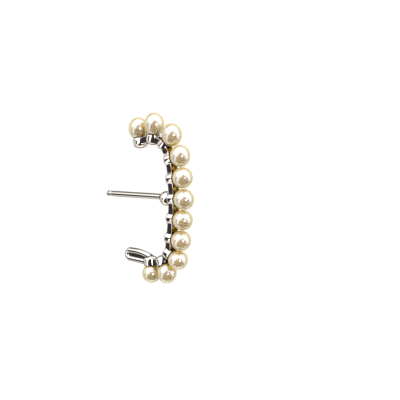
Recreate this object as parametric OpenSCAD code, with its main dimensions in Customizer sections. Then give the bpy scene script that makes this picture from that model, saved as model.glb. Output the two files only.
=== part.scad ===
/* [Pearls] */
// Nominal pearl diameter, which is also the width across the hook
pearl_d = 3.0; // [2.8:0.05:3.2]
// Clear gap between a pearl and the metal that holds it
seat_gap = 0.05; // [0.04:0.01:0.08]

/* [Cups] */
// Outside diameter of a cup
cup_d = 2.06; // [1.9:0.02:2.2]
// Metal between a pearl and the domed back of its cup
cup_floor = 1.3; // [1.2:0.02:1.4]
// Height of the dome on the back of a cup
dome_h = 0.4; // [0.3:0.05:0.5]
// How deep a pearl sits below the rim of its cup
seat_depth = 0.2; // [0.12:0.01:0.24]

/* [Links] */
// Width of a link across the hook
link_w = 1.9; // [1.6:0.1:2]
// Thickness of a link, seen from the side
link_t = 1; // [0.96:0.02:1.02]
// How far the back of a link lies behind the surface of a pearl
link_back = 0.72; // [0.65:0.01:0.8]

/* [Ear post] */
// Diameter of the post
post_d = 0.86; // [0.8:0.02:0.9]
// Distance from the middle pearl's centre to the tip of the post
post_reach = 15.1; // [13:0.1:16]
// Height of the post above the middle of its ball
post_up = 0.2; // [0:0.05:0.3]
// Diameter of the ball where the post meets its cup
ball_d = 2; // [1.8:0.05:2.2]
// Distance from the middle pearl's centre to the centre of the ball
ball_back = 3.12; // [2.9:0.02:3.3]
// Distance from the tip of the post to the middle of its groove
groove_at = 1.05; // [0.9:0.05:1.5]
// Width of the groove, which is round at the bottom
groove_w = 0.26; // [0.2:0.02:0.3]
// Depth of the groove
groove_depth = 0.06; // [0.03:0.01:0.08]

/* [End loop] */
// Diameter of the loop's wire
wire_d = 0.9; // [0.7:0.02:0.9]
// Radius of the wire's centre line in the turn
turn_r = 0.66; // [0.5:0.02:0.7]
// Distance from the middle of the last cup to the centre of the turn
loop_l = 3.95; // [3.5:0.05:4.5]
// Slope of the loop, upward and away from the pearls
loop_rise = 7.6; // [0:0.2:12]
// Angle between the middle of the loop and each of its arms
arm_slope = 3.5; // [3:0.5:6]
// Thickness of the solder that closes the eye of the loop
web_t = 0.4; // [0.3:0.05:0.5]

/* [Hidden] */
$fn = 96;
// A small overlap for solids that are joined
e = 0.02;

// One row for each pearl, from the top back end to the end with the loop. Angles are in degrees
// from straight forward, and lengths are shares of the nominal pearl diameter.
// [heading to the next pearl, step to the next pearl, pearl size to the front, pearl size upward]
HEADING = 0;
STEP = 1;
SIZE_X = 2;
SIZE_Y = 3;
CHAIN = [
    [11, 1.05, 0.96, 1.12],
    [-25, 1.21, 0.97, 1.16],
    [-63, 1.12, 0.96, 1.12],
    [-82, 1.05, 0.96, 1.06],
    [-86, 1.035, 0.98, 1.01],
    [-94, 1.01, 0.99, 1.01],
    [-96, 1, 0.96, 0.975],
    [-101, 0.98, 0.96, 0.975],
    [-134, 0.98, 0.94, 0.94],
    [-173, 1, 0.88, 1.02],
    [-173, 0, 0.9, 0.94]
];
count = len(CHAIN);
first = 0;
last = count - 1;
// The pearl in front of the ear post
middle = 5;

// Places along the chain, first from the middle pearl and then in the part's own frame
function unit(angle) = [cos(angle), sin(angle)];
function walk(k) = k == first ? [0, 0] : walk(k - 1) + CHAIN[k - 1][STEP] * pearl_d * unit(CHAIN[k - 1][HEADING]);
function place(k) = walk(k) - walk(middle);
function size_x(k) = CHAIN[k][SIZE_X] * pearl_d;
function size_y(k) = CHAIN[k][SIZE_Y] * pearl_d;

// Direction from a pearl to the back of its cup, square to the mean of the headings beside it
function inward(k) = (CHAIN[max(k - 1, first)][HEADING] + CHAIN[k][HEADING]) / 2 - 90;
// Distance from a pearl's centre to its surface in that direction
function half_at(k) = let (u = unit(inward(k))) 1 / norm([2 * u[0] / size_x(k), 2 * u[1] / size_y(k)]);
// A point behind the centre of a pearl, towards the back of its cup
function behind(k, d) = place(k) + d * unit(inward(k));
function cup_back(k) = half_at(k) + cup_floor;
function cup_middle(k) = half_at(k) + cup_floor / 2;

// The outer box of the earring, whose middle is the origin
x_max = max([for (k = [first:last]) place(k)[0] + size_x(k) / 2]);
y_max = max([for (k = [first:last]) place(k)[1] + size_y(k) / 2]);
y_min = min([for (k = [first:last]) place(k)[1] - size_y(k) / 2]);
box_middle = [(x_max - post_reach) / 2, (y_max + y_min) / 2];

function pearl_name(k) = str("pearl_", k < 9 ? "0" : "", k + 1);

// Moves what is drawn around the middle pearl into the part's frame, lying on its side
module in_frame() {
    translate([-box_middle[0], -box_middle[1], pearl_d / 2]) children();
}

// Puts +Z along the axis of a cup, from its pearl's centre to the back
module along_cup(k) {
    translate([place(k)[0], place(k)[1], 0]) rotate([0, 0, inward(k)]) rotate([0, 90, 0]) children();
}

// The space of one pearl, grown all round by a gap
module pearl_space(k, gap) {
    translate([place(k)[0], place(k)[1], 0])
        scale([size_x(k) / pearl_d, size_y(k) / pearl_d, 1]) sphere(d = pearl_d + 2 * gap);
}

// A round cup with a domed back, before its seat is cut
module cup(k) {
    dome_r = (pow(cup_d / 2, 2) + pow(dome_h, 2)) / (2 * dome_h);
    rim = half_at(k) - seat_depth;
    along_cup(k) intersection() {
        translate([0, 0, rim]) cylinder(d = cup_d, h = cup_back(k) - rim + e);
        translate([0, 0, cup_back(k) - dome_r]) sphere(r = dome_r);
    }
}

// The flat bar between a cup and the next one
module link(k) {
    near = half_at(k) + link_back;
    far = half_at(k + 1) + link_back;
    translate([0, 0, -link_w / 2]) linear_extrude(link_w) polygon([
        behind(k, near - link_t),
        behind(k + 1, far - link_t),
        behind(k + 1, far),
        behind(k, near)
    ]);
}

// The ear post, with its ball, groove and rounded tip, along -X from the middle cup
module ear_post() {
    tip_r = post_d / 2;
    groove_r = (pow(groove_w / 2, 2) + pow(groove_depth, 2)) / (2 * groove_depth);
    rotate([0, -90, 0]) translate([0, 0, ball_back]) sphere(d = ball_d);
    translate([0, post_up, 0]) rotate([0, -90, 0]) {
        difference() {
            translate([0, 0, ball_back]) cylinder(d = post_d, h = post_reach - tip_r - ball_back);
            translate([0, 0, post_reach - groove_at]) rotate_extrude()
                translate([tip_r - groove_depth + groove_r, 0]) circle(r = groove_r);
        }
        translate([0, 0, post_reach - tip_r]) sphere(r = tip_r);
    }
}

// The folded wire loop behind the last cup, in the plane of the hook, with solder in its eye
module end_loop() {
    arm_l = loop_l * cos(arm_slope);
    arm_x = turn_r * cos(90 + arm_slope);
    arm_y = turn_r * sin(90 + arm_slope);
    root = behind(last, cup_middle(last));
    translate([root[0], root[1], 0]) rotate([0, 0, 180 - loop_rise]) translate([loop_l, 0, 0]) {
        rotate([0, 0, -90 - arm_slope]) rotate_extrude(angle = 180 + 2 * arm_slope)
            translate([turn_r, 0]) circle(d = wire_d);
        for (side = [-1, 1]) rotate([0, 0, side * (90 + arm_slope)]) translate([turn_r, 0, 0])
            rotate([-90 * side, 0, 0]) cylinder(d = wire_d, h = arm_l);
        translate([0, 0, -web_t / 2]) {
            cylinder(r = turn_r, h = web_t);
            linear_extrude(web_t) polygon([
                [arm_x, arm_y],
                [arm_x - arm_l * cos(arm_slope), arm_y - arm_l * sin(arm_slope)],
                [arm_x - arm_l * cos(arm_slope), arm_l * sin(arm_slope) - arm_y],
                [arm_x, -arm_y]
            ]);
        }
    }
}

// All the soldered metal, with a seat cut for each pearl
module ear_hook() {
    color("silver") in_frame() difference() {
        union() {
            for (k = [first:last]) cup(k);
            for (k = [first:last - 1]) link(k);
            ear_post();
            end_loop();
        }
        for (k = [first:last]) pearl_space(k, seat_gap);
    }
}

// One pearl
module pearl(k) {
    color("ivory") in_frame() pearl_space(k, 0);
}

ear_hook();
for (k = [first:last]) {
    pearl(k);
}
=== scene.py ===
import math

import bmesh
import bpy
from bpy.props import FloatProperty, FloatVectorProperty, IntProperty, PointerProperty
from bpy.types import Operator, Panel, PropertyGroup
from mathutils import Matrix, Vector


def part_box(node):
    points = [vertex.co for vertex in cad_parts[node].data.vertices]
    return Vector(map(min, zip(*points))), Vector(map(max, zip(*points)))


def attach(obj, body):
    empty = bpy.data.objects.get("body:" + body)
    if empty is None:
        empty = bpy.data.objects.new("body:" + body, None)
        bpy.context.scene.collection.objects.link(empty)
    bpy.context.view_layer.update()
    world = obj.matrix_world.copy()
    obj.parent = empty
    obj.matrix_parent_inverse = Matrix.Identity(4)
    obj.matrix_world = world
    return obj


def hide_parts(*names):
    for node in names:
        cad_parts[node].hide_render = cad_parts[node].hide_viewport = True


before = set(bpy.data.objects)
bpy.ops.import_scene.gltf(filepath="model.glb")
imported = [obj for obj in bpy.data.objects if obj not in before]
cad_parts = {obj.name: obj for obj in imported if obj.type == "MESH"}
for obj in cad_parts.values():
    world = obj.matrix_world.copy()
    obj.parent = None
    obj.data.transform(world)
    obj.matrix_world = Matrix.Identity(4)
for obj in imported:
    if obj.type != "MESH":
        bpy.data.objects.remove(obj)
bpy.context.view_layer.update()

bl_info = {
    "name": "Pearl hook earring",
    "version": (1, 0, 0),
    "blender": (4, 5, 0),
    "location": "View3D > Sidebar > Earring",
    "description": "Dresses a hook earring with its pearls, polished cups and links, ear post and end loop",
    "category": "Object",
}

MM = 0.001
TURN = 2 * math.pi


# Places along the hook, worked out from the pearls of the frame

def unit(angle):
    """The direction at an angle from straight forward, in the plane of the hook."""
    return Vector((math.cos(angle), math.sin(angle), 0))


def pearl_names():
    return sorted(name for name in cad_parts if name.startswith("pearl_"))


class Seat:
    """Where one pearl sits: its centre, its half sizes and the direction to the back of its cup."""

    def __init__(self, name):
        low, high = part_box(name)
        self.name = name
        self.centre = (low + high) / 2
        self.half = (high - low) / 2
        self.inward = 0.0

    def surface(self):
        """Distance from the centre to the surface, towards the back of the cup."""
        back = unit(self.inward)
        return 1 / math.hypot(back.x / self.half.x, back.y / self.half.y)

    def behind(self, distance):
        """A point behind the surface of the pearl, towards the back of its cup."""
        return self.centre + (self.surface() + distance) * unit(self.inward)


def seats():
    """All the seats, from the top back end to the end with the loop."""
    found = [Seat(name) for name in pearl_names()]
    headings = []
    for near, far in zip(found, found[1:]):
        step = far.centre - near.centre
        angle = math.atan2(step.y, step.x)
        headings.append(angle if angle < math.pi / 2 else angle - TURN)
    for place, seat in enumerate(found):
        before = headings[max(place - 1, 0)]
        after = headings[min(place, len(headings) - 1)]
        seat.inward = (before + after) / 2 - math.pi / 2
    return found


# Node trees

class Wire:
    """An output socket. Sums with it add Math nodes to its tree."""

    def __init__(self, graph, socket):
        self.graph = graph
        self.socket = socket

    def maths(self, operation, first, second=0.0):
        return self.graph.add("ShaderNodeMath", {"operation": operation}, {0: first, 1: second})

    def __add__(self, other):
        return self.maths("ADD", self, other)

    def __sub__(self, other):
        return self.maths("SUBTRACT", self, other)

    def __rsub__(self, other):
        return self.maths("SUBTRACT", other, self)

    def __mul__(self, other):
        return self.maths("MULTIPLY", self, other)

    def __neg__(self):
        return self.maths("MULTIPLY", self, -1.0)

    def __abs__(self):
        return self.maths("ABSOLUTE", self)

    __radd__ = __add__
    __rmul__ = __mul__

    def either(self, other):
        """The larger of the two."""
        return self.maths("MAXIMUM", self, other)

    def ramp(self, low, high):
        """0 up to low, 1 from high, and smooth between them."""
        values = {"Value": self, "From Min": low, "From Max": high}
        return self.graph.add("ShaderNodeMapRange", {"interpolation_type": "SMOOTHSTEP"}, values)

    def out(self, name):
        """Another output of the same node."""
        return Wire(self.graph, self.socket.node.outputs[name])


class Graph:
    """A node tree that nodes are added to."""

    def __init__(self, tree):
        self.tree = tree
        self.tree.nodes.clear()

    def add(self, kind, settings=None, values=None):
        """Adds a node with its settings, then its sockets' values or wires, and gives its first output."""
        node = self.tree.nodes.new(kind)
        for name, value in (settings or {}).items():
            setattr(node, name, value)
        for name, value in (values or {}).items():
            self.feed(node.inputs[name], value)
        shown = [output for output in node.outputs if output.enabled]
        return Wire(self, shown[0]) if shown else None

    def feed(self, socket, value):
        """Gives a socket its value, a wire or, where it takes several, a list of wires."""
        wires = [wire for wire in (value if isinstance(value, list) else [value]) if isinstance(wire, Wire)]
        for wire in wires:
            self.tree.links.new(wire.socket, socket)
        if not wires:
            socket.default_value = value

    def mix(self, share, first, second):
        """A mix of two colours, each a wire or three numbers."""
        node = self.tree.nodes.new("ShaderNodeMix")
        node.data_type = "RGBA"
        factor, colours = node.inputs[0], node.inputs[6:8]
        self.feed(factor, share)
        for socket, colour in zip(colours, (first, second)):
            self.feed(socket, colour if isinstance(colour, Wire) else (*colour, 1))
        return Wire(self, node.outputs[2])


def material(name):
    """A new material and its graph."""
    made = bpy.data.materials.new(name)
    made.use_nodes = True
    return made, Graph(made.node_tree)


# Geometry Nodes

class Maker(Graph):
    """A Geometry Nodes tree with named inputs."""

    def __init__(self, name, inputs):
        super().__init__(bpy.data.node_groups.new(name, "GeometryNodeTree"))
        interface = self.tree.interface
        interface.new_socket("Geometry", in_out="INPUT", socket_type="NodeSocketGeometry")
        for label, kind in inputs.items():
            interface.new_socket(label, in_out="INPUT", socket_type="NodeSocket" + kind)
        interface.new_socket("Geometry", in_out="OUTPUT", socket_type="NodeSocketGeometry")
        self.given = self.add("NodeGroupInput")

    def shape(self, label):
        """The shape of the object that a named input gives."""
        given = self.given.out(label)
        node = self.add("GeometryNodeObjectInfo", {"transform_space": "ORIGINAL"}, {"Object": given})
        return node.out("Geometry")

    def finish(self, geometry):
        """Ends the tree in real geometry that wears the material."""
        real = self.add("GeometryNodeRealizeInstances", None, {"Geometry": geometry})
        worn = self.add("GeometryNodeSetMaterial", None, {
            "Geometry": real, "Material": self.given.out("Material"),
        })
        self.add("NodeGroupOutput", None, {"Geometry": worn})

    def run(self, name, values, start=None):
        """Runs the tree once, on a start mesh where it needs one, and keeps the result as a plain mesh."""
        holder = bpy.data.objects.new(name, start or bpy.data.meshes.new(name))
        bpy.context.scene.collection.objects.link(holder)
        modifier = holder.modifiers.new("Make", "NODES")
        modifier.node_group = self.tree
        for item in self.tree.interface.items_tree:
            if item.in_out == "INPUT" and item.name in values:
                modifier[item.identifier] = values[item.name]
        return plain(holder)


def plain(holder):
    """Turns an object with modifiers into a plain mesh object."""
    depsgraph = bpy.context.evaluated_depsgraph_get()
    before = holder.data
    mesh = bpy.data.meshes.new_from_object(holder.evaluated_get(depsgraph), depsgraph=depsgraph)
    holder.modifiers.clear()
    holder.data = mesh
    mesh.name = holder.name
    bpy.data.meshes.remove(before)
    if not mesh.polygons:
        raise RuntimeError(f"{holder.name} came out empty")
    return holder


def solid(made):
    """Checks that a finished shape is closed and has its faces outwards."""
    shape = bmesh.new()
    shape.from_mesh(made.data)
    closed = all(edge.is_manifold for edge in shape.edges)
    volume = shape.calc_volume(signed=True)
    shape.free()
    if not closed or volume <= 0:
        raise RuntimeError(f"{made.name} isn't a closed solid, its volume is {volume / MM ** 3:.3f} mm3")
    return made


def thread(points, widths):
    """A mesh of points that are joined one to the next, each with the width of what is swept there."""
    mesh = bpy.data.meshes.new("thread")
    mesh.from_pydata([tuple(point) for point in points], [(i, i + 1) for i in range(len(points) - 1)], [])
    mesh.attributes.new("width", "FLOAT", "POINT").data.foreach_set("value", widths)
    return mesh


def swept_bar():
    """A tree that sweeps a profile along a thread in the plane of the hook, wider or narrower as it goes."""
    maker = Maker("Swept bar", {"Profile": "Object", "Plane": "Float", "Material": "Material"})
    path = maker.add("GeometryNodeMeshToCurve", None, {"Mesh": maker.given.out("Geometry")})
    path = maker.add("GeometryNodeSetCurveNormal", {"mode": "Z_UP"}, {"Curve": path})
    outline = maker.add("GeometryNodeMeshToCurve", None, {"Mesh": maker.shape("Profile")})
    bar = maker.add("GeometryNodeCurveToMesh", None, {
        "Curve": path, "Profile Curve": outline, "Fill Caps": True,
    })
    width = maker.add("GeometryNodeInputNamedAttribute", {"data_type": "FLOAT"}, {"Name": "width"})
    height = maker.add("ShaderNodeSeparateXYZ", None, {0: maker.add("GeometryNodeInputPosition")}).out("Z")
    shift = maker.add("ShaderNodeCombineXYZ", None, {"Z": (height - maker.given.out("Plane")) * (width - 1)})
    bar = maker.add("GeometryNodeSetPosition", None, {"Geometry": bar, "Offset": shift})
    maker.finish(bar)
    return maker


def sweep(name, outline, path, widths=None):
    """Sweeps a closed outline along the points of a path."""
    mesh = bpy.data.meshes.new("outline")
    count = len(outline)
    mesh.from_pydata([(x, y, 0) for x, y in outline], [(i, (i + 1) % count) for i in range(count)], [])
    profile = bpy.data.objects.new("outline", mesh)
    bpy.context.scene.collection.objects.link(profile)
    start = thread(path, widths or [1.0] * len(path))
    made = swept_bar().run(name, {"Profile": profile, "Plane": path[0].z}, start)
    bpy.data.objects.remove(profile)
    return solid(made)


def scattered_cups():
    """A tree that sets one cup on every point, turned to its back."""
    maker = Maker("Cups on their points", {"Cup": "Object", "Material": "Material"})
    angle = maker.add("GeometryNodeInputNamedAttribute", {"data_type": "FLOAT"}, {"Name": "inward"})
    turned_back = maker.add("FunctionNodeAxisAngleToRotation", None, {"Axis": (0, 0, 1), "Angle": angle})
    cups = maker.add("GeometryNodeInstanceOnPoints", None, {
        "Points": maker.given.out("Geometry"), "Instance": maker.shape("Cup"), "Rotation": turned_back,
    })
    maker.finish(cups)
    return maker


def grown_pearl():
    """A tree that grows one pearl, a little uneven as nacre is, inside its half sizes."""
    maker = Maker("Pearl", {
        "Centre": "Vector", "Half Size": "Vector", "Detail": "Int", "Unevenness": "Float", "Seed": "Float",
        "Material": "Material",
    })
    given = maker.given
    ball = maker.add("GeometryNodeMeshIcoSphere", None, {"Radius": 1.0, "Subdivisions": given.out("Detail")})
    place = maker.add("GeometryNodeInputPosition")
    swell = maker.add("ShaderNodeTexNoise", {"noise_dimensions": "4D"}, {
        "Vector": place, "W": given.out("Seed"), "Scale": 1.1, "Detail": 1.0,
    })
    depth = (swell.out("Fac") - 1) * given.out("Unevenness")
    shift = maker.add("ShaderNodeVectorMath", {"operation": "SCALE"}, {0: place, "Scale": depth})
    ball = maker.add("GeometryNodeSetPosition", None, {"Geometry": ball, "Offset": shift})
    ball = maker.add("GeometryNodeTransform", None, {
        "Geometry": ball, "Translation": given.out("Centre"), "Scale": given.out("Half Size"),
    })
    ball = maker.add("GeometryNodeSetShadeSmooth", None, {"Geometry": ball, "Shade Smooth": True})
    maker.finish(ball)
    return maker


# Turned and cut metal

def arc(centre, radius, start, end, steps):
    """Points on an arc of a profile, as (distance from the axis, place along it)."""
    angles = [start + (end - start) * step / steps for step in range(steps + 1)]
    return [(centre[0] + radius * math.cos(a), centre[1] + radius * math.sin(a)) for a in angles]


def crowned(reach, top, bulge, edge, steps):
    """From a straight side, round a soft edge and over a crowned top, to the middle of the top."""
    middle = top - bulge
    edge_along = middle + math.sqrt((bulge - edge) ** 2 - (reach - edge) ** 2)
    meet = math.atan2(edge_along - middle, reach - edge)
    soft = arc((reach - edge, edge_along), edge, 0, meet, steps)
    return soft + arc((0, middle), bulge, meet, math.pi / 2, steps)[1:]


def turned(name, profile, axis_point, axis, sides):
    """Turns a profile of (distance from the axis, place along it) into a closed round solid."""
    shape = bmesh.new()
    ring = [shape.verts.new((max(out, 0), 0, along)) for out, along in profile]
    for near, far in zip(ring, ring[1:]):
        shape.edges.new((near, far))
    bmesh.ops.spin(
        shape, geom=shape.verts[:] + shape.edges[:], cent=(0, 0, 0), axis=(0, 0, 1), angle=TURN, steps=sides,
        use_merge=True,
    )
    same_place = 1e-7
    bmesh.ops.remove_doubles(shape, verts=shape.verts, dist=same_place)
    bmesh.ops.recalc_face_normals(shape, faces=shape.faces)
    mesh = bpy.data.meshes.new(name)
    shape.to_mesh(mesh)
    shape.free()
    turn = Vector(axis).to_track_quat("Z", "Y").to_matrix().to_4x4()
    mesh.transform(Matrix.Translation(axis_point) @ turn)
    made = bpy.data.objects.new(name, mesh)
    bpy.context.scene.collection.objects.link(made)
    return solid(made)


# Sizes, colours and light that a user can change

class MetalSizes(PropertyGroup):
    """Sizes and finish of the soldered metal."""

    cup_width: FloatProperty(
        name="Cup width", description="Outside diameter of a cup", default=2.06 * MM, unit="LENGTH")
    cup_back: FloatProperty(
        name="Cup back", description="From a pearl's surface to the back of its cup", default=1.3 * MM,
        unit="LENGTH")
    seat_depth: FloatProperty(
        name="Seat depth", description="How deep a pearl sits below the rim of its cup", default=0.2 * MM,
        unit="LENGTH")
    dome_height: FloatProperty(
        name="Dome height", description="Height of the dome on the back of a cup", default=0.4 * MM,
        unit="LENGTH")
    cup_edge: FloatProperty(
        name="Cup edge", description="Radius of the rounded edge round a cup's dome", default=0.42 * MM,
        unit="LENGTH")
    seat_gap: FloatProperty(
        name="Seat gap", description="Clear gap between a pearl and its seat", default=0.05 * MM,
        unit="LENGTH")
    link_depth: FloatProperty(
        name="Link depth", description="Width of a link across the hook", default=1.6 * MM, unit="LENGTH")
    link_thickness: FloatProperty(
        name="Link thickness", description="Thickness of a link, seen from the side", default=1.0 * MM,
        unit="LENGTH")
    link_back: FloatProperty(
        name="Link back", description="How far the back of a link lies behind a pearl's surface",
        default=0.8 * MM, unit="LENGTH")
    link_edge: FloatProperty(
        name="Link edge", description="Radius of a link's rounded edges", default=0.12 * MM, unit="LENGTH")
    front_edge: FloatProperty(
        name="Front edge", description="Radius of a link's edges beside the pearls", default=0.05 * MM,
        unit="LENGTH")
    link_crown: FloatProperty(
        name="Link crown", description="Radius of the crown on a link's sides", default=8.0 * MM,
        unit="LENGTH")
    waist: FloatProperty(
        name="Waist", description="How much narrower a link is halfway, as a share of its width",
        default=0.1, min=0, max=0.3)
    slimness: FloatProperty(
        name="Slimness", description="How much narrower a link is that lies level, as a share",
        default=0.3, min=0, max=0.5)
    ball_width: FloatProperty(
        name="Ball width", description="Diameter of the ball at the foot of the post", default=2.16 * MM,
        unit="LENGTH")
    ball_back: FloatProperty(
        name="Ball back", description="From the middle pearl's centre to the centre of the ball",
        default=3.12 * MM, unit="LENGTH")
    post_width: FloatProperty(
        name="Post width", description="Diameter of the ear post", default=0.86 * MM, unit="LENGTH")
    post_reach: FloatProperty(
        name="Post reach", description="From the middle pearl's centre to the tip of the post",
        default=15.099 * MM, unit="LENGTH")
    post_rise: FloatProperty(
        name="Post rise", description="Height of the post above the middle of its ball", default=0.2 * MM,
        unit="LENGTH")
    groove_place: FloatProperty(
        name="Groove place", description="From the tip of the post to the middle of its groove",
        default=1.05 * MM, unit="LENGTH")
    groove_width: FloatProperty(
        name="Groove width", description="Width of the clutch groove", default=0.26 * MM, unit="LENGTH")
    groove_depth: FloatProperty(
        name="Groove depth", description="Depth of the clutch groove", default=0.06 * MM, unit="LENGTH")
    neck_depth: FloatProperty(
        name="Neck depth", description="Depth of the crease between the post and its ball",
        default=0.07 * MM, unit="LENGTH")
    wire_width: FloatProperty(
        name="Wire width", description="Diameter of the end loop's wire", default=0.9 * MM, unit="LENGTH")
    loop_turn: FloatProperty(
        name="Loop turn", description="Radius of the wire's centre line in the turn", default=0.6 * MM,
        unit="LENGTH")
    loop_length: FloatProperty(
        name="Loop length", description="From the middle of the last cup to the centre of the turn",
        default=3.95 * MM, unit="LENGTH")
    loop_rise: FloatProperty(
        name="Loop rise", description="Slope of the loop, upward and away from the pearls",
        default=math.radians(6.7), subtype="ANGLE")
    arm_slope: FloatProperty(
        name="Arm slope", description="Angle between the middle of the loop and each of its arms",
        default=math.radians(2.6), subtype="ANGLE")
    arm_bow: FloatProperty(
        name="Arm bow", description="How far the loop's upper arm is bowed outward", default=0.2 * MM,
        unit="LENGTH")
    web_thickness: FloatProperty(
        name="Web thickness", description="Thickness of the solder in the eye of the loop", default=0.4 * MM,
        unit="LENGTH")
    colour: FloatVectorProperty(
        name="Metal colour", description="Colour of the polished plating", default=(0.67, 0.655, 0.65),
        subtype="COLOR", min=0, max=1)
    roughness: FloatProperty(
        name="Metal roughness", description="Roughness of the polished plating", default=0.07, min=0, max=1)
    waviness: FloatProperty(
        name="Waviness", description="Height of the waves that hand polishing leaves", default=0.003 * MM,
        unit="LENGTH")
    cast_waves: FloatProperty(
        name="Cast waves", description="How much higher the waves are on the cast row", default=1.5, min=0)
    # painted shade: a near-black colour laid into the soldered creases, where shade falls
    crease_shade_colour: FloatVectorProperty(
        name="Crease colour", description="Colour of the polish left in the soldered creases",
        default=(0.06, 0.05, 0.04), subtype="COLOR", min=0, max=1)
    # painted reflection: the gold-brown of the shaded pearls, laid on the metal beside them
    pearl_reflection_colour: FloatVectorProperty(
        name="Glow colour", description="Colour of the metal beside a pearl", default=(0.19, 0.105, 0.015),
        subtype="COLOR", min=0, max=1)
    # reach of the painted reflection of the pearls on the metal
    pearl_reflection_reach: FloatProperty(
        name="Glow reach", description="How far from a pearl the metal takes its gold", default=1.0 * MM,
        unit="LENGTH")
    # reach of the painted shade in the creases
    crease_shade_reach: FloatProperty(
        name="Crease reach", description="How far from a neighbouring surface a crease is dark",
        default=0.4 * MM, unit="LENGTH")


class PearlLooks(PropertyGroup):
    """Colours and surface of the pearls."""

    body: FloatVectorProperty(
        name="Body colour", description="Colour of the nacre", default=(0.92, 0.67, 0.31), subtype="COLOR",
        min=0, max=1)
    deep: FloatVectorProperty(
        name="Deep colour", description="Colour of the warmer clouds in the nacre",
        default=(0.86, 0.61, 0.27), subtype="COLOR", min=0, max=1)
    # painted reflection: the gold of neighbouring pearls, laid where a pearl lies against them
    neighbour_reflection: FloatVectorProperty(
        name="Contact colour", description="Colour where a pearl lies against its neighbours",
        default=(0.96, 0.73, 0.14), subtype="COLOR", min=0, max=1)
    # reach of the painted reflection of the neighbouring pearls
    neighbour_reflection_reach: FloatProperty(
        name="Contact reach", description="How far from its neighbours a pearl looks golden",
        default=0.65 * MM, unit="LENGTH")
    lustre: FloatProperty(
        name="Lustre", description="How strongly the nacre mirrors the light", default=0.8, min=0, max=1)
    softness: FloatProperty(
        name="Softness", description="Roughness of the nacre", default=0.23, min=0, max=1)
    unevenness: FloatProperty(
        name="Unevenness", description="Depth of the unevenness, as a share of a pearl's radius",
        default=0.004, min=0, max=0.05)
    detail: IntProperty(
        name="Detail", description="Subdivisions of a pearl's surface", default=6, min=3, max=7)


class StageLight(PropertyGroup):
    """The camera, the floor and the soft light."""

    camera_turn: FloatProperty(
        name="Camera turn", description="From the hook's side towards its pearls", default=math.radians(37),
        subtype="ANGLE")
    camera_rise: FloatProperty(
        name="Camera rise", description="From the hook's middle towards its top", default=math.radians(5),
        subtype="ANGLE")
    camera_distance: FloatProperty(
        name="Camera distance", description="From the lens to the point it looks at", default=110 * MM,
        unit="LENGTH")
    aim_ahead: FloatProperty(
        name="Aim ahead", description="From the middle pearl to the point that the camera looks at",
        default=2.92 * MM, unit="LENGTH")
    aim_above: FloatProperty(
        name="Aim above", description="From the middle pearl up to the point that the camera looks at",
        default=0.07 * MM, unit="LENGTH")
    lens: FloatProperty(
        name="Lens", description="Focal length in millimetres on a 36 mm sensor", default=70.2, min=1)
    soft_box: FloatVectorProperty(
        name="Soft box", description="Light of the white tent on the lens's side", default=(2.35, 2.4, 2.5),
        subtype="COLOR", min=0, soft_max=4)
    flank: FloatVectorProperty(
        name="Flank", description="Colour of the tent beside the hook", default=(1.25, 1.16, 1.02),
        subtype="COLOR", min=0, max=2)
    low: FloatVectorProperty(
        name="Low", description="Colour of the tent low on the left", default=(1.1, 1.03, 0.97),
        subtype="COLOR", min=0, max=2)
    tray: FloatVectorProperty(
        name="Tray", description="Colour of the cream card under the hook", default=(2.3, 2.05, 1.65),
        subtype="COLOR", min=0, max=4)
    right: FloatVectorProperty(
        name="Right", description="Colour of the tent at its right edge", default=(0.6, 0.5, 0.33),
        subtype="COLOR", min=0, max=1)
    behind: FloatVectorProperty(
        name="Behind", description="Colour of the tent on the far side of the hook",
        default=(0.94, 0.85, 0.68), subtype="COLOR", min=0, max=1)
    opening: FloatVectorProperty(
        name="Opening", description="Colour of the dim room in the tent's opening and of the dark cards",
        default=(0.055, 0.045, 0.037), subtype="COLOR", min=0, max=1)
    lamp: FloatProperty(
        name="Lamp", description="Brightness of the small lamp beside the lens", default=14.0, min=0)
    lamp_direction: FloatVectorProperty(
        name="Lamp direction", description="Towards the lamp, in shares to the camera's right, top and back",
        default=(0.52, -0.077, 0.85), subtype="XYZ")
    shade: FloatProperty(
        name="Shade", description="Share of the tent's light that is kept from matt surfaces", default=0.44,
        min=0, max=1)


# Materials

def noise(graph, place, scale, detail):
    return graph.add("ShaderNodeTexNoise", None, {"Vector": place, "Scale": scale, "Detail": detail})


def openness(graph, reach, own=False):
    """How open a point is: 1 in the open, 0 where all is covered within reach, or by its own piece alone."""
    settings = {"samples": 16, "only_local": own}
    return graph.add("ShaderNodeAmbientOcclusion", settings, {"Distance": reach}).out("AO")


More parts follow.
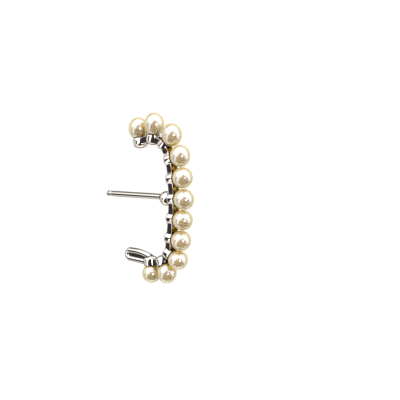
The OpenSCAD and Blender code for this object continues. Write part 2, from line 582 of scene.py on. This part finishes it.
def rhodium(sizes, post_height):
    """Bright plated silver, gently uneven from polishing, with painted shade in its creases and a painted
    gold reflection of the pearls beside them.
    """
    made, graph = material("polished_metal")
    place = graph.add("ShaderNodeTexCoord").out("Object")
    marks = noise(graph, place, 9000.0, 2.0)
    waves = noise(graph, place, 1300.0, 1.0)
    # the cast row and the bent loop are less even than the drawn post
    drawn, fade = 0.7 * MM, 0.3 * MM
    row_back, row_front = 3.4 * MM, 4.0 * MM
    spot = graph.add("ShaderNodeSeparateXYZ", None, {0: place})
    cast = (abs(spot.out("Y") - post_height) - drawn).ramp(0, fade)
    cast = cast.either(spot.out("X").ramp(row_back, row_front))
    mark_share = 0.02
    bump = graph.add("ShaderNodeBump", None, {
        "Height": waves * (1 + cast * sizes.cast_waves) + marks * mark_share,
        "Strength": 1.0,
        "Distance": sizes.waviness,
    })
    # painted shade: the metal is darkened and roughened where its own surfaces close round a crease
    crease = 1 - openness(graph, sizes.crease_shade_reach, own=True).ramp(0.4, 0.9)
    # painted reflection of the shaded pearls, laid where the pearls cover the metal, past what the metal
    # covers of itself
    beside = openness(graph, sizes.pearl_reflection_reach, own=True) - openness(graph, sizes.pearl_reflection_reach)
    colour = graph.mix(beside.ramp(0.03, 0.25), tuple(sizes.colour), tuple(sizes.pearl_reflection_colour))
    crease_shade_share, crease_roughness = 0.8, 0.2
    even, uneven = 0.6, 0.8
    skin = graph.add("ShaderNodeBsdfPrincipled", None, {
        "Base Color": graph.mix(crease * crease_shade_share, colour, tuple(sizes.crease_shade_colour)),
        "Metallic": 1.0,
        "Specular Tint": (0.08, 0.07, 0.06, 1),
        "Roughness": sizes.roughness * (even + waves * uneven) + crease * crease_roughness,
        "Normal": bump,
    })
    graph.add("ShaderNodeOutputMaterial", None, {"Surface": skin})
    return made


def nacre(looks):
    """Cream nacre: a soft body under a glossy skin, with faint warm clouds, and a painted gold reflection
    where pearls meet.
    """
    made, graph = material("pearl")
    place = graph.add("ShaderNodeTexCoord").out("Object")
    clouds = noise(graph, place, 420.0, 3.0)
    grain = noise(graph, place, 5200.0, 2.0)
    grain_height = 0.0004 * MM
    bump = graph.add("ShaderNodeBump", None, {"Height": grain, "Strength": 0.06, "Distance": grain_height})
    body = graph.mix(clouds.ramp(0.35, 0.75), tuple(looks.body), tuple(looks.deep))
    # painted reflection: a brighter, partly metallic gold where neighbouring pearls close round a pearl
    near = 1 - openness(graph, looks.neighbour_reflection_reach).ramp(0.4, 0.8)
    neighbour_reflection_metal = 0.65
    even, uneven = 0.85, 0.3
    rim = graph.add("ShaderNodeLayerWeight", None, {"Blend": 0.5}).out("Facing")
    skin = graph.add("ShaderNodeBsdfPrincipled", None, {
        "Base Color": graph.mix(near, body, tuple(looks.neighbour_reflection)),
        "Metallic": near * neighbour_reflection_metal,
        "Roughness": looks.softness * (even + clouds * uneven),
        "IOR": 2.8,
        "Specular IOR Level": looks.lustre,
        "Specular Tint": (0.63, 0.80, 1.0, 1),
        "Sheen Weight": 1.0,
        "Sheen Roughness": 0.4,
        "Sheen Tint": (1.0, 0.92, 0.62, 1),
        "Coat Weight": rim.ramp(0.35, 0.75),
        "Coat Roughness": 0.15,
        "Coat IOR": 1.4,
        "Coat Tint": (1.0, 0.94, 0.66, 1),
        "Normal": bump,
    })
    graph.add("ShaderNodeOutputMaterial", None, {"Surface": skin})
    return made


def floor_finish():
    """A pale floor that the camera sees evenly lit."""
    made, graph = material("pale_floor")
    place = graph.add("ShaderNodeTexCoord").out("Object")
    paler, greyer = (0.80, 0.80, 0.80), (0.78, 0.78, 0.785)
    matt = graph.add("ShaderNodeBsdfPrincipled", None, {
        "Base Color": graph.mix(noise(graph, place, 60.0, 3.0), paler, greyer), "Roughness": 0.5,
    })
    glow = graph.add("ShaderNodeEmission", None, {"Color": (1, 1, 1, 1), "Strength": 1.2})
    unseen_glow, seen_glow = 0.25, 0.5
    seen = graph.add("ShaderNodeLightPath").out("Is Camera Ray")
    surface = graph.add("ShaderNodeMixShader", None, {0: unseen_glow + seen * seen_glow, 1: matt, 2: glow})
    graph.add("ShaderNodeOutputMaterial", None, {"Surface": surface})
    return made


class Tent:
    """The parts of the white tent round the hook, each a mask over the directions that light comes from.

    Directions are read across to the camera's right, up to its top and near to the camera itself.
    The two numbers of a ramp are the ends of a soft edge.
    """

    def __init__(self, graph, side, above, back):
        self.graph = graph
        place = graph.add("ShaderNodeTexCoord").out("Generated")
        self.place = graph.add("ShaderNodeVectorMath", {"operation": "NORMALIZE"}, {0: place})
        self.across = self.along(side)
        self.up = self.along(above)
        self.near = self.along(back)
        self.left = -self.across

    def along(self, direction):
        values = {0: self.place, 1: direction}
        return self.graph.add("ShaderNodeVectorMath", {"operation": "DOT_PRODUCT"}, values).out("Value")

    def opening(self):
        """The gap round the lens, which widens downward."""
        centre, peak, slope = 0.24, 0.54, 0.85
        roof = (peak - slope * abs(self.across - centre) - self.up).ramp(-0.04, 0.06)
        lean = 0.25
        front = (self.near + self.across * lean).ramp(-0.06, 0.08)
        middle, half_width = 0.12, 0.79
        return roof * front * (half_width - abs(self.across - middle)).ramp(-0.04, 0.04)

    def flag(self):
        """The dark card far to the left, which the flat sides of the links mirror."""
        top, bottom, drop = 0.13, -0.3, 0.3
        foot = bottom - drop * (1 - self.near.ramp(0.2, 0.5))
        height = (top - self.up).ramp(-0.04, 0.04) * (self.up - foot).ramp(-0.04, 0.04)
        far, far_lean = 0.1, 0.4
        close, close_lean = 0.57, 0.75
        depth = (self.near - far - self.up * far_lean).ramp(-0.04, 0.02)
        depth = depth * (close + self.up * close_lean - self.near).ramp(-0.03, 0.05)
        return self.left.ramp(0.72, 0.8) * height * depth

    def low(self):
        """The part low on the left and towards the back."""
        limit = 0.2
        return self.left.ramp(-0.1, 0.4) * (-self.up).ramp(0.35, 0.6) * (limit - self.near).ramp(-0.1, 0.1)

    def flank(self):
        """The part beside the hook."""
        edge, lean = 0.08, 0.2
        return (edge - self.near - self.across * lean).ramp(0, 0.2)

    def right(self):
        """The upright strip at the right edge."""
        middle, half_width = -0.3, 0.12
        return self.across.ramp(0.84, 0.9) * (half_width - abs(self.near - middle)).ramp(0, 0.04)

    def behind(self):
        """The part on the far side of the hook."""
        return (-self.near).ramp(0.34, 0.48)

    def tray(self):
        """The cream card under the hook."""
        limit = -0.62
        return (-self.up).ramp(0.78, 0.88) * (self.near - limit).ramp(0, 0.1)

    def canopy(self):
        """The grey card over the far side of the hook."""
        bottom, limit, strength = 0.7, -0.1, 0.85
        height = (self.up - bottom).ramp(-0.04, 0.04)
        depth = (limit - self.near).ramp(-0.05, 0.05)
        return height * depth * self.left.ramp(0.15, 0.3) * strength


# Operators

class HOOK_OT_cups(Operator):
    """Turn one cup and set it behind every pearl"""

    bl_idname = "hook.cups"
    bl_label = "Cups"

    def execute(self, context):
        sizes = context.scene.hook_metal
        radius = sizes.cup_width / 2
        dome = (radius ** 2 + sizes.dome_height ** 2) / (2 * sizes.dome_height)
        lip, sides = 0.05 * MM, 96
        lip_steps, edge_steps = 3, 12
        profile = [(0, -sizes.seat_depth), (radius - lip, -sizes.seat_depth)]
        profile += arc((radius - lip, lip - sizes.seat_depth), lip, -math.pi / 2, 0, lip_steps)
        profile += crowned(radius, sizes.cup_back, dome, sizes.cup_edge, edge_steps)
        cup = turned("cup", profile, (0, 0, 0), (1, 0, 0), sides)
        row = seats()
        points = bpy.data.meshes.new("cup_points")
        points.from_pydata([tuple(seat.behind(0)) for seat in row], [], [])
        angles = points.attributes.new("inward", "FLOAT", "POINT")
        angles.data.foreach_set("value", [seat.inward for seat in row])
        scattered_cups().run("cups", {"Cup": cup}, points)
        bpy.data.objects.remove(cup)
        return {"FINISHED"}


class HOOK_OT_links(Operator):
    """Sweep the flat links from cup to cup"""

    bl_idname = "hook.links"
    bl_label = "Links"

    def execute(self, context):
        sizes = context.scene.hook_metal
        middle = sizes.link_back - sizes.link_thickness / 2
        half, height = sizes.link_thickness / 2, sizes.link_depth / 2
        front_steps, back_steps = 4, 6
        front = crowned(half, height, sizes.link_crown, sizes.front_edge, front_steps)
        back = crowned(half, height, sizes.link_crown, sizes.link_edge, back_steps)
        top = front + [(-x, y) for x, y in reversed(back[:-1])]
        outline = top + [(-x, -y) for x, y in top]
        row = [seat.behind(middle) for seat in seats()]
        steps, flare, steepness = 12, 0.5, 1.2
        path, widths = [row[0]], [1 - sizes.slimness]
        for near, far in zip(row, row[1:]):
            # a link that lies level is slimmer and has hardly any waist
            upright = abs((far - near).normalized().y)
            waist = sizes.waist * min(1, steepness * upright) ** 2
            width = 1 - sizes.slimness * (1 - upright)
            for step in range(1, steps + 1):
                path.append(near.lerp(far, step / steps))
                halfway = (1 - math.cos(TURN * step / steps)) / 2
                widths.append(width * (1 + waist * (flare - (1 + flare) * halfway)))
        sweep("links", outline, path, widths)
        return {"FINISHED"}


class HOOK_OT_post(Operator):
    """Turn the ear post and the ball at its foot"""

    bl_idname = "hook.post"
    bl_label = "Ear post"

    def execute(self, context):
        sizes = context.scene.hook_metal
        row = seats()
        centre = row[len(row) // 2].centre
        sides = 96
        ball = sizes.ball_width / 2
        round_ball = arc((0, 0), ball, -math.pi / 2, math.pi / 2, sides // 2)
        turned("post_ball", round_ball, centre - Vector((sizes.ball_back, 0, 0)), (-1, 0, 0), sides)
        radius = sizes.post_width / 2
        tip = sizes.post_reach
        half_groove = sizes.groove_width / 2
        bottom = (half_groove ** 2 + sizes.groove_depth ** 2) / (2 * sizes.groove_depth)
        swing = math.asin(half_groove / bottom)
        groove_middle = (radius - sizes.groove_depth + bottom, tip - sizes.groove_place)
        neck = sizes.ball_back + ball
        profile = [(0, sizes.ball_back), (radius - sizes.neck_depth, sizes.ball_back)]
        profile += [(radius - sizes.neck_depth, neck), (radius, neck + sizes.neck_depth / 2)]
        groove_steps, tip_steps = 8, 16
        profile += arc(groove_middle, bottom, math.pi + swing, math.pi - swing, groove_steps)
        profile += arc((0, tip - radius), radius, 0, math.pi / 2, tip_steps)
        turned("post_shaft", profile, centre + Vector((0, sizes.post_rise, 0)), (-1, 0, 0), sides)
        return {"FINISHED"}


class HOOK_OT_loop(Operator):
    """Bend the wire of the end loop and close its eye with solder"""

    bl_idname = "hook.loop"
    bl_label = "End loop"

    def execute(self, context):
        sizes = context.scene.hook_metal
        last = seats()[-1]
        root = last.behind(sizes.cup_back / 2)
        turn = Matrix.Translation(root) @ Matrix.Rotation(math.pi - sizes.loop_rise, 4, "Z")
        turn = turn @ Matrix.Translation((sizes.loop_length, 0, 0))
        arm = sizes.loop_length * math.cos(sizes.arm_slope)
        bend = math.pi / 2 + sizes.arm_slope
        steps, sides = 32, 48
        path = [sizes.loop_turn * unit(-bend + 2 * bend * step / steps) for step in range(steps + 1)]
        upper = path[0] - arm * unit(-sizes.arm_slope)
        lower = path[-1] - arm * unit(sizes.arm_slope)
        bowed = []
        for step in range(steps):
            bow = sizes.arm_bow * math.sin(math.pi * step / steps)
            bowed.append(upper.lerp(path[0], step / steps) - Vector((0, bow, 0)))
        path = [turn @ point for point in bowed + path + [lower]]
        sweep("loop_wire", arc((0, 0), sizes.wire_width / 2, 0, TURN, sides)[:-1], path)
        web = bmesh.new()
        face = web.faces.new([web.verts.new(point) for point in path])
        drop = Vector((0, 0, sizes.web_thickness))
        bmesh.ops.translate(web, verts=web.verts, vec=-drop / 2)
        top = bmesh.ops.extrude_face_region(web, geom=[face])
        moved = [part for part in top["geom"] if isinstance(part, bmesh.types.BMVert)]
        bmesh.ops.translate(web, verts=moved, vec=drop)
        bmesh.ops.recalc_face_normals(web, faces=web.faces)
        mesh = bpy.data.meshes.new("loop_web")
        web.to_mesh(mesh)
        web.free()
        context.scene.collection.objects.link(bpy.data.objects.new("loop_web", mesh))
        return {"FINISHED"}


class HOOK_OT_solder(Operator):
    """Unite the metal, cut the pearls' seats and polish it"""

    bl_idname = "hook.solder"
    bl_label = "Solder and polish"

    def execute(self, context):
        sizes = context.scene.hook_metal
        names = ("cups", "links", "post_ball", "post_shaft", "loop_wire", "loop_web")
        parts = {name: bpy.data.objects[name] for name in names}
        maker = Maker("Solder", {**dict.fromkeys((*names, "Seats"), "Object"), "Material": "Material"})
        united = maker.add("GeometryNodeMeshBoolean", {"operation": "UNION", "solver": "MANIFOLD"}, {
            "Mesh 2": [maker.shape(name) for name in names]})
        cut = maker.add("GeometryNodeMeshBoolean", {"operation": "DIFFERENCE", "solver": "MANIFOLD"}, {
            "Mesh 1": united, "Mesh 2": maker.shape("Seats")})
        maker.finish(cut)
        row = seats()
        seat_maker, seat_detail = grown_pearl(), 5
        gap = Vector((sizes.seat_gap, sizes.seat_gap, sizes.seat_gap))
        spaces = []
        for seat in row:
            spaces.append(seat_maker.run("space", {
                "Centre": tuple(seat.centre), "Half Size": tuple(seat.half + gap), "Detail": seat_detail,
                "Unevenness": 0.0, "Seed": 0.0,
            }))
        with context.temp_override(active_object=spaces[0], selected_editable_objects=spaces):
            bpy.ops.object.join()
        post_height = row[len(row) // 2].centre.y + sizes.post_rise
        finish = rhodium(sizes, post_height)
        metal = maker.run("ear_hook_metal", {**parts, "Seats": spaces[0], "Material": finish})
        for part in (*parts.values(), spaces[0]):
            bpy.data.objects.remove(part)
        sharp_angle = math.radians(28)
        metal.data.shade_smooth()
        metal.data.set_sharp_from_angle(angle=sharp_angle)
        solid(metal)
        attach(metal, "root")
        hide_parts("ear_hook")
        return {"FINISHED"}


class HOOK_OT_pearls(Operator):
    """Grow the eleven pearls, each in its own seat"""

    bl_idname = "hook.pearls"
    bl_label = "Pearls"

    def execute(self, context):
        looks = context.scene.hook_pearls
        finish = nacre(looks)
        maker, seed_step = grown_pearl(), 7.0
        for number, seat in enumerate(seats(), 1):
            pearl = maker.run(f"{seat.name}_nacre", {
                "Centre": tuple(seat.centre), "Half Size": tuple(seat.half), "Detail": looks.detail,
                "Unevenness": looks.unevenness, "Seed": seed_step * number, "Material": finish,
            })
            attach(pearl, "root")
            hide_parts(seat.name)
        return {"FINISHED"}


class HOOK_OT_stage(Operator):
    """Set the camera, the floor and the soft light"""

    bl_idname = "hook.stage"
    bl_label = "Stage"

    def execute(self, context):
        light = context.scene.hook_stage
        row = seats()
        middle = row[len(row) // 2].centre
        turn, rise = light.camera_turn, light.camera_rise
        back = Vector((math.sin(turn) * math.cos(rise), math.sin(rise), math.cos(turn) * math.cos(rise)))
        side = Vector((math.cos(turn), 0, -math.sin(turn)))
        above = back.cross(side)
        aim = middle + Vector((light.aim_ahead, light.aim_above, 0))
        data = bpy.data.cameras.new("camera")
        data.lens = light.lens
        data.sensor_width = 36
        data.clip_start = 1 * MM
        camera = bpy.data.objects.new("camera", data)
        camera.matrix_world = Matrix.Translation(aim + light.camera_distance * back) @ Matrix(
            (side, above, back)).transposed().to_4x4()
        context.scene.collection.objects.link(camera)
        context.scene.camera = camera
        mesh = bpy.data.meshes.new("floor")
        reach = 2.0
        corners = [(-reach, -reach, 0), (reach, -reach, 0), (reach, reach, 0), (-reach, reach, 0)]
        mesh.from_pydata(corners, [], [(0, 1, 2, 3)])
        mesh.materials.append(floor_finish())
        floor = bpy.data.objects.new("floor", mesh)
        context.scene.collection.objects.link(floor)
        floor.visible_glossy = False
        self.light_tent(context, light, side, above, back)
        context.scene.view_settings.view_transform = "Standard"
        return {"FINISHED"}

    def light_tent(self, context, light, side, above, back):
        """Lights the scene with the tent's parts, each laid over the ones before it."""
        world = bpy.data.worlds.new("tent")
        world.use_nodes = True
        context.scene.world = world
        graph = Graph(world.node_tree)
        tent = Tent(graph, side, above, back)
        parts = (
            (tent.low(), light.low), (tent.flank(), light.flank), (tent.right(), light.right),
            (tent.behind(), light.behind), (tent.tray(), light.tray), (tent.canopy(), light.opening),
            (tent.opening().either(tent.flag()), light.opening),
        )
        glow = tuple(light.soft_box)
        for part, colour in parts:
            glow = graph.mix(part, glow, tuple(colour))
        shares = zip(light.lamp_direction, (side, above, back))
        lamp = tent.along(sum((share * axis for share, axis in shares), Vector()))
        glow = graph.mix(lamp.ramp(0.990, 0.995), glow, (light.lamp, light.lamp, light.lamp))
        path = graph.add("ShaderNodeLightPath")
        glow = graph.mix(path.out("Is Diffuse Ray") * light.shade, glow, (0, 0, 0))
        glow = graph.mix(path.out("Is Camera Ray"), glow, (1, 1, 1))
        sky = graph.add("ShaderNodeBackground", None, {"Color": glow, "Strength": 1.0})
        graph.add("ShaderNodeOutputWorld", None, {"Surface": sky})


class HOOK_PT_earring(Panel):
    """The earring's pieces and their sizes, in the sidebar"""

    bl_label = "Pearl hook earring"
    bl_space_type = "VIEW_3D"
    bl_region_type = "UI"
    bl_category = "Earring"

    def draw(self, context):
        for operator in OPERATORS:
            self.layout.operator(operator.bl_idname)
        for group in (context.scene.hook_metal, context.scene.hook_pearls, context.scene.hook_stage):
            column = self.layout.column(align=True)
            for name in group.__annotations__:
                column.prop(group, name)


OPERATORS = (
    HOOK_OT_stage, HOOK_OT_cups, HOOK_OT_links, HOOK_OT_post, HOOK_OT_loop, HOOK_OT_solder, HOOK_OT_pearls,
)
GROUPS = {"hook_metal": MetalSizes, "hook_pearls": PearlLooks, "hook_stage": StageLight}


def register():
    for kind in (*GROUPS.values(), *OPERATORS, HOOK_PT_earring):
        bpy.utils.register_class(kind)
    for name, kind in GROUPS.items():
        setattr(bpy.types.Scene, name, PointerProperty(type=kind))


def unregister():
    for name in GROUPS:
        delattr(bpy.types.Scene, name)
    for kind in reversed((*GROUPS.values(), *OPERATORS, HOOK_PT_earring)):
        bpy.utils.unregister_class(kind)


def main():
    register()
    bpy.ops.hook.stage()
    bpy.ops.hook.cups()
    bpy.ops.hook.links()
    bpy.ops.hook.post()
    bpy.ops.hook.loop()
    bpy.ops.hook.solder()
    bpy.ops.hook.pearls()


if __name__ == "__main__":
    main()
